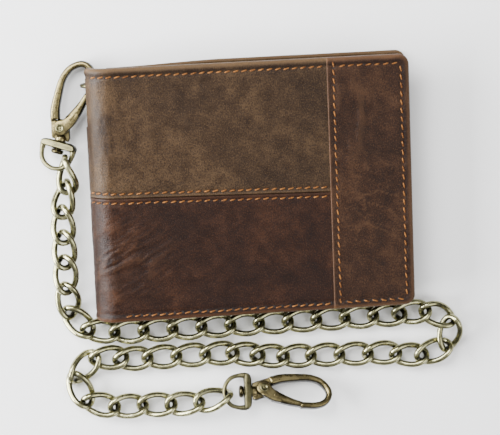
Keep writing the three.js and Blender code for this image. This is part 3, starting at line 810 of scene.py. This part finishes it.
def strip_stitches():
    rows = Build()
    right, edge, foot = FREE_X - STITCH_INSET, HALF_HEIGHT - STITCH_INSET, -HALF_HEIGHT + 2.6
    left, top, low = STRIP_STITCH_X, HALF_HEIGHT - 1.0, -HALF_HEIGHT + 1.6
    for x0, y0, x1, y1, slant in ((left, top, left, low, 14),
                                  (left + 1.7, edge, right - 0.6, edge, 14),
                                  (right, edge - 0.6, right, -edge + 0.3, 14),
                                  (right - 0.6, foot, left + 1.7, foot, -16)):
        straight_row(rows, (x0, y0, 0), (x1, y1, 0), UP, on_strip, slant=slant)
    piece = rows.piece("strip_stitches", [THREAD, HOLE_SHADE], SHARP_THREAD)
    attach(piece, "front_cover")


def back_stitches():
    rows = Build()
    z = 0.16
    left, right, edge = SPINE_X + 1.5, BACK_X - STITCH_INSET, HALF_HEIGHT - STITCH_INSET
    for start, end in (((left, edge, z), (right - 0.6, edge, z)),
                       ((right, edge - 0.6, z), (right, -edge + 0.6, z)),
                       ((right - 0.6, -edge, z), (left, -edge, z))):
        straight_row(rows, start, end, DOWN, height=0.2)
    piece = rows.piece("back_stitches", [THREAD, HOLE_SHADE], SHARP_THREAD)
    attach(piece, "back_cover")


# ---- inside of the wallet --------------------------------------------------------------------------

POCKETS = 3
POCKET_STEP = 12.0
POCKET_STITCH = 1.8  # stitch rows from a pocket's edges
POCKET_PITCH = 3.2


def box_mm(node_name):
    low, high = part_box(node_name)
    return np.array(low) / MM, np.array(high) / MM


def lining(name, cad_node, body, facing, seed):
    """A flat lining with a little waviness on its open face."""
    (x0, y0, z0), (x1, y1, z1) = box_mm(cad_node)
    gx, gy = np.meshgrid(stations(x0, x1, 1.6), stations(y0, y1, 1.6), indexing="ij")
    rim = np.minimum(np.minimum(gx - x0, x1 - gx), np.minimum(gy - y0, y1 - gy))
    open_z, hidden_z = (z1, z0) if facing > 0 else (z0, z1)
    waves = 0.12 * (fractal(gx / 14, gy / 14, 2, seed) - 0.7)
    face = open_z + facing * (waves - edge_drop(rim, 0.35))
    build = Build()
    slab(build, np.stack([gx, gy, face], -1), np.stack([gx, gy, np.full_like(gx, hidden_z)], -1),
         turned=facing < 0)
    piece = build.piece(name, [LINING], SHARP_LEATHER)
    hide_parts(cad_node)
    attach(piece, body)


def pocket_piece(name, cad_node, body, facing, seed):
    """Three stepped card pockets with turned mouths, each with its own row of stitches."""
    low, high = box_mm(cad_node)
    leaf = (high[2] - low[2]) / POCKETS
    build = Build()
    for i in range(POCKETS):
        mouth = high[1] - i * POCKET_STEP
        base = low[2] + i * leaf if facing > 0 else high[2] - i * leaf
        gx, gy = np.meshgrid(stations(low[0], high[0], 1.3), stations(low[1], mouth, 1.1),
                             indexing="ij")
        sides = np.minimum(np.minimum(gx - low[0], high[0] - gx), gy - low[1])
        lip = mouth - gy
        h = leaf * 0.97 - 0.35 * edge_drop(sides, 1.0) - edge_drop(lip, 0.7)
        h += groove(lip, 2.2, 0.4, 0.22) - 0.35 * smooth(3.0, 9.0, lip) * smooth(0, 6, sides)
        h += 0.25 * (fractal(gx / 15, gy / 9, 2, seed + i) - 0.6) * smooth(0, 4, sides)
        h = np.clip(h, 0.2, leaf)
        # painted highlight on each mouth and painted shade in the stitch dent below it
        tone = tones_of(0.4 * (1 - smooth(0.3, 1.3, lip)), 0.45 * bell(lip, 2.2, 0.45))
        slab(build, np.stack([gx, gy, base + facing * h], -1),
             np.stack([gx, gy, np.full_like(gx, base)], -1), None, tone, turned=facing < 0)
    up = np.array([0, 0, float(facing)])
    sewn = Build()
    level = (low[2] + leaf * 0.9) if facing > 0 else (high[2] - leaf * 0.9)
    for i in range(POCKETS):
        z = level + facing * i * leaf
        top = high[1] - i * POCKET_STEP
        foot = top - POCKET_STEP + 1.0 if i < POCKETS - 1 else low[1] + 1.5
        for x in (low[0] + POCKET_STITCH, high[0] - POCKET_STITCH):
            straight_row(sewn, (x, top - 1.5, z), (x, foot, z), up, pitch=POCKET_PITCH)
    y = low[1] + POCKET_STITCH
    straight_row(sewn, (low[0] + 3.2, y, z), (high[0] - 3.2, y, z), up, pitch=POCKET_PITCH)
    piece = build.piece(name, [INNER], SHARP_LEATHER)
    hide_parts(cad_node)
    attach(piece, body)
    threads = sewn.piece(name + "_stitches", [THREAD, HOLE_SHADE], SHARP_THREAD)
    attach(threads, body)


def inside():
    lining("back_lining_cloth", "back_lining", "back_cover", 1, 5)
    lining("front_lining_cloth", "front_lining", "front_cover", -1, 8)
    pocket_piece("back_pockets", "back_card_pockets", "back_cover", 1, 41)
    pocket_piece("front_pockets", "front_card_pockets", "front_cover", -1, 51)


# ---- keeper ring and strap -------------------------------------------------------------------------

def ring_and_strap():
    turn = circle(72)
    ring_line = np.stack([np.cos(turn), np.zeros(72), np.sin(turn)], 1)
    line = np.array(RING_CENTRE) + RING_RADIUS * ring_line
    build = Build()
    sweep(build, line, RING_WIRE_RADIUS, np.tile([0.0, 1.0, 0.0], (72, 1)), sides=14, closed=True)
    ring = build.piece("ring", [DARK_BRASS])
    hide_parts("keeper_ring")
    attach(ring, "ring")
    # a strap folded round the ring, its two halves pinched together inside the fold
    (_, y0, z0), (x1, y1, z1) = box_mm("ring_keeper_strap")
    middle, reach = (y0 + y1) / 2, (y1 - y0) / 2
    bore = RING_WIRE_RADIUS + 0.3
    pinch = 0.35
    ring_x = RING_CENTRE[0] + RING_RADIUS
    around = np.linspace(math.pi / 2, math.pi * 1.5, 19)
    half = (reach + bore) / 2
    bend = np.stack([ring_x + half * np.cos(around), middle + half * np.sin(around)], 1)
    run = np.linspace(x1 - 0.4, ring_x + 0.3, 12)
    upper = np.stack([run, middle + half - pinch * smooth(ring_x, x1, run)], 1)
    lower = upper[::-1] * np.array([1, -1]) + np.array([0, 2 * middle])
    path = np.vstack([upper, bend, lower])
    line = np.c_[path, np.full(len(path), (z0 + z1) / 2)]
    strap = Build()
    sweep(strap, line, ((reach - bore) / 2, (z1 - z0) / 2), None, 5.0, 20, cap=0)
    piece = strap.piece("keeper_strap", [INNER])
    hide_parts("ring_keeper_strap")
    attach(piece, "back_cover")


# ---- chain -----------------------------------------------------------------------------------------

LINK_STEPS, WIRE_SIDES = 84, 16


def link_mesh():
    """One curb link, long axis along x, twisted by 45 degrees each way towards its ends."""
    turn = circle(LINK_STEPS)
    c, s = (np.sign(v) * np.abs(v) ** LINK_SQUARENESS for v in (np.cos(turn), np.sin(turn)))
    x, across = LINK_HALF_LENGTH * c, LINK_HALF_WIDTH * s
    angle = -math.radians(LINK_TWIST) * x / LINK_HALF_LENGTH
    line = np.stack([x, across * np.cos(angle), across * np.sin(angle)], 1)
    build = Build()
    sweep(build, line, LINK_WIRE_RADIUS, line, 2.3, WIRE_SIDES, closed=True)
    # the inner side darkened: antiquing with painted shade, deepest in the bows
    wire = np.vstack(build.points).reshape(LINK_STEPS, WIRE_SIDES, 3)
    inner = ((wire - line[:, None]) * -unit(line)[:, None]).sum(-1)
    bows = smooth(4.2, 6.6, np.abs(line[:, 0]))[:, None]
    build.tones = [tones_of(0, smooth(-0.2, 1.0, inner) * (0.7 + 0.3 * bows)).reshape(-1, 3)]
    piece = build.piece("link_pattern", [BRASS], 180)
    mesh = piece.data
    bpy.data.objects.remove(piece)
    return mesh


def chain():
    """The same link at each packed link, turned to that link's own axes."""
    mesh = link_mesh()
    for name in sorted(n for n in frame["nodes"] if n.startswith("chain_link")):
        points = np.array([v.co for v in frame["nodes"][name].data.vertices], float)
        points = np.unique(np.round(points, 6), axis=0)
        middle = points.mean(0)
        axes = np.linalg.eigh(np.cov((points - middle).T))[1]
        along, across = axes[:, 2], axes[:, 1]
        piece = linked(name.replace("chain_", "curb_"), mesh)
        piece.matrix_world = placed(along, across, np.cross(along, across), middle)
        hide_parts(name)
        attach(piece, frame_body(name))


def placed(x, y, z, at):
    """A matrix from three axes and a place."""
    return Matrix([(*row, place) for row, place in zip(zip(x, y, z), at)] + [(0, 0, 0, 1)])


def frame_body(node_name):
    bodies = frame["record"]["behaviour"]["bodies"]
    return next(body for body, nodes in bodies.items() if node_name in nodes)


# ---- snap hooks ------------------------------------------------------------------------------------

# A hook's own frame: x along it from the stem to the nose, z through its thickness.
HALF_DEPTH = HOOK_DEPTH / 2
LAP = 0.15  # half of the gap between the body's half of the boss and the gate's
SQUARE_BAR = 3.2  # the arm's and the gate's section, between an ellipse and a rectangle
BOSS_RADIUS, DISC_RADIUS = 3.3, 2.9
BRIDGE = [[6.2, 5.0], [6.9, 3.5], [8.4, 3.4], [10.5, 3.5], [10.5, 5.3], [8.0, 5.35]]
WEDGE = [[3.2, -1.75], [4.6, -2.5], [6.4, -3.6], [8.6, -4.5], [10.5, -4.95], [11.5, -4.3],
         [11.2, -2.5], [9.6, -0.95], [7.8, 0.7], [6.6, 2.4], [4.5, 1.5]]
# profiles of turned parts, as (radius, height)
STEM = [(0.6, -5.1), (1.9, -5.0), (2.3, -4.6), (2.3, -3.9), (2.0, -3.5), (1.2, -3.4), (1.2, 0.3),
        (1.0, 0.4)]
COLLAR = [(0.9, -0.22), (1.75, -0.2), (2.15, 0.05), (2.2, 0.9), (2.0, 1.6), (1.2, 2.2)]
EYE_RIM = [(1.55, -0.12), (2.3, -0.1), (2.45, 0.05), (2.3, 0.2), (1.6, 0.22)]
ABOUT_X = ((0, 1, 0), (0, 0, 1), (1, 0, 0))
ABOUT_Z = ((1, 0, 0), (0, 1, 0), (0, 0, 1))
EYE_FAR = -3.1  # the far face of the eye's bar
EYE_HALF_BAR = 1.8
EYE_SIDE = 6.15  # half the width between the middles of the bow's sides
EYE_REACH = -10.65
EYE_WIRE_RADIUS = 0.83


def in_plane(line):
    return np.c_[line, np.zeros(len(line))]


def hook_body(build):
    line = catmull(ARM_LINE, 90)
    share = np.linspace(0, 1, 90)
    wide = np.stack([1.2 + 0.6 * np.exp(-(share / 0.3) ** 2), np.full(90, HALF_DEPTH)], 1)
    sweep(build, in_plane(line), wide, None, SQUARE_BAR, 24, flank_shade=1.0)
    arc = np.linspace(-0.5 * math.pi, 0.8, 20)
    boss = PIVOT + BOSS_RADIUS * np.stack([np.cos(arc), np.sin(arc)], 1)
    outline = np.vstack([[0.2, -3.0], [1.6, -3.3], boss,
                         [8.6, 5.2], [6.4, 5.3], [1.6, 3.9], [0.2, 3.2]])
    bevelled(build, outline, -HALF_DEPTH, -LAP, 0.35, 1.0)
    bevelled(build, BRIDGE, LAP - HALF_DEPTH, HALF_DEPTH - LAP, 0.35, 0.6)
    lathe(build, STEM, ABOUT_X, (0, 0, 0), 28, (0, 0.7, 0))
    lathe(build, COLLAR, ABOUT_X, (0, 0, 0), 32)


def hook_gate(build):
    turn = circle(40)
    disc = PIVOT + DISC_RADIUS * np.stack([np.cos(turn), np.sin(turn)], 1)
    bevelled(build, disc, LAP, HALF_DEPTH, 0.4, 0.7)
    # the upper half of the wedge, which laps over the body's boss
    bevelled(build, WEDGE, LAP, HALF_DEPTH - 0.02, 0.4, 0.9)
    # the full wedge: broad on its outer side beside the boss, slim at the nose
    line = catmull(GATE_LINE, 40)
    out = np.linalg.norm(line - PIVOT, axis=1)
    line = line[(out > 4.3) & (out < 15.75)]
    rest = 1 - np.linspace(0, 1, len(line))
    line = line + np.outer(rest ** 1.5, [-0.25, -0.75])
    wide = np.stack([1.1 + 1.15 * rest ** 1.3, np.full(len(line), HALF_DEPTH)], 1)
    sweep(build, in_plane(line), wide, None, SQUARE_BAR, 24, cap=0.3, flank_shade=1.0)


def hook_rivet(build):
    """A peened head below and a ringed head above, with a dimple in it."""
    top = HALF_DEPTH + 0.05
    profile = [(0.3, -top - 0.32), (1.2, -top - 0.3), (1.6, -top), (1.1, -top + 0.1),
               (1.1, top), (1.62, top + 0.05), (1.6, top + 0.3), (1.35, top + 0.45),
               (1.05, top + 0.42), (0.85, top + 0.16), (0.45, top + 0.1), (0.15, top + 0.22)]
    lathe(build, profile, ABOUT_Z, (*PIVOT, 0), 36)


def mirrored(points):
    """A line's mirror image in y, backwards, and then the line itself."""
    return [[x, -y] for x, y in points[::-1]] + points


def hook_eye(build):
    bow = mirrored([[EYE_REACH + 0.7, -EYE_SIDE * 0.5], [EYE_FAR - 4.8, -EYE_SIDE * 0.86],
                    [EYE_FAR - 1.8, -EYE_SIDE], [EYE_FAR + 0.8, -EYE_SIDE]])
    bow.insert(4, [EYE_REACH, 0])
    beside_bar = 1 - smooth(0.0, 0.15, 0.5 - np.abs(np.linspace(-0.5, 0.5, 80)))
    thick = EYE_WIRE_RADIUS + 0.3 * beside_bar
    sweep(build, in_plane(catmull(bow, 80)), np.stack([thick, thick], 1), None, 2.2, 16, cap=0)
    edge = [[-0.3, 2.4], [-0.3, 4.4], [-0.42, 5.4], [-0.75, 6.2], [-1.3, 6.75], [-2.0, 7.0],
            [EYE_FAR + 0.45, 6.9], [EYE_FAR + 0.1, 6.4], [EYE_FAR, 4.0]]
    bevelled(build, mirrored(edge), -EYE_HALF_BAR, EYE_HALF_BAR, 0.55, 0.6)
    for end in (-0.35, EYE_FAR - 0.02):
        lathe(build, EYE_RIM, ABOUT_X, (end, 0, 0), 28, (0, 0.4, 0))


def hooks():
    for letter, place in HOOKS.items():
        turn = (rotation("Z", place["heading"]) @ rotation("Y", place["dip"])
                @ rotation("X", place["lean"]))
        parts = (("body", hook_body, HOOK_BRASS, "antique_brass", f"hook_{letter}", 0),
                 ("gate", hook_gate, HOOK_BRASS, "antique_brass", f"gate_{letter}", 0),
                 ("rivet", hook_rivet, DARK_BRASS, "dark_brass", f"hook_{letter}", 0),
                 ("swivel_eye", hook_eye, DARK_BRASS, "dark_brass", f"eye_{letter}",
                  place["eye"] - place["lean"]))
        for kind, make, material, slot_name, body, extra in parts:
            build = Build()
            make(build)
            lean = turn @ rotation("X", extra)
            build.points = [p @ lean.T + np.array(place["at"]) for p in build.points]
            piece = build.piece(f"snap_{letter}_{kind}", [material], 50)
            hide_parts(f"hook_{letter}_{kind}")
            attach(piece, body)


# ---- setting, in metres ----------------------------------------------------------------------------

FLOOR_SIDE, FLOOR_Z = 3.0, -0.0002
# bright overhead and dim round the sides, as under a large soft box
SKY = [(0.0, (0.03, 0.03, 0.03)), (0.35, (0.12, 0.12, 0.12)), (0.62, (0.55, 0.55, 0.55)),
       (0.95, (0.9, 0.9, 0.9))]
LIGHTS = (  # name, place, aim, size, watts, colour
    ("key", (-0.35, 0.45, 0.75), (0, -0.02, 0), (0.5, 0.4), 13.0, WHITE),
    ("side", (-0.70, 0.08, 0.27), (-0.05, 0, 0.01), (0.6, 0.42), 30.0, (0.97, 0.98, 1.0)),
    ("fill", (0.6, -0.3, 0.8), (0, -0.02, 0), (0.7, 0.7), 6.0, WHITE),
)
SENSOR = 36  # millimetres
FOCAL_PHOTO_WIDTHS = 2107.2 / 500  # the fitted focal length in pixels over the photograph's width
CAMERA_TIP, CAMERA_SIDE, CAMERA_ROLL = 10, -6.1, -2.3  # degrees off straight above
CAMERA_AIM = Vector((0.3, -13.5, 0)) * MM
CAMERA_DISTANCE = 0.8


def setting():
    floor = bpy.data.meshes.new("floor")
    corners = [(x * FLOOR_SIDE, y * FLOOR_SIDE, FLOOR_Z) for x, y in ((-1, -1), (1, -1), (1, 1), (-1, 1))]
    floor.from_pydata(corners, [], [(0, 1, 2, 3)])
    floor.materials.append(plain("pale_floor", (0.93, 0.93, 0.93), 0.9))
    linked("floor", floor)

    world = bpy.data.worlds.new("studio")
    world.use_nodes = True
    tree = world.node_tree
    direction = node(tree, "ShaderNodeTexCoord").outputs["Generated"]
    rise = node(tree, "ShaderNodeSeparateXYZ", {"Vector": direction}).outputs["Z"]
    background = tree.nodes["Background"]
    tree.links.new(ramp(tree, rise, SKY), background.inputs["Color"])
    set_values(background, Strength=0.9)
    bpy.context.scene.world = world

    for name, place, aim, size, watts, colour in LIGHTS:
        light = bpy.data.lights.new(name, "AREA")
        light.shape = "RECTANGLE"
        light.size, light.size_y = size
        light.energy = watts
        light.color = colour
        lamp = linked(name, light)
        lamp.location = place
        lamp.rotation_mode = "QUATERNION"
        lamp.rotation_quaternion = (Vector(aim) - Vector(place)).to_track_quat("-Z", "Y")


def camera():
    """The photograph's angle: a long lens almost straight above, tipped and turned a little."""
    data = bpy.data.cameras.new("camera")
    data.sensor_width = SENSOR
    data.lens = FOCAL_PHOTO_WIDTHS * SENSOR
    data.clip_start, data.clip_end = 0.05, 20
    obj = linked("camera", data)
    tip, side, roll = (math.radians(a) for a in (CAMERA_TIP, CAMERA_SIDE, CAMERA_ROLL))
    back = Vector((math.sin(side), math.sin(tip) * math.cos(side), math.cos(tip) * math.cos(side)))
    across = Vector((0, 1, 0)).cross(back).normalized()
    up = back.cross(across)
    right = math.cos(roll) * across + math.sin(roll) * up
    up = math.cos(roll) * up - math.sin(roll) * across
    obj.matrix_world = placed(right, up, back, CAMERA_AIM + back * CAMERA_DISTANCE)
    bpy.context.scene.camera = obj


camera()
setting()
shell_wrap("upper_shell", True, UPPER, ("front_upper_panel", "spine_leather"))
shell_wrap("lower_shell", False, LOWER, ("front_lower_panel", "spine_leather"))
side_strip()
back_cover()
front_stitches()
strip_stitches()
back_stitches()
inside()
ring_and_strap()
chain()
hooks()
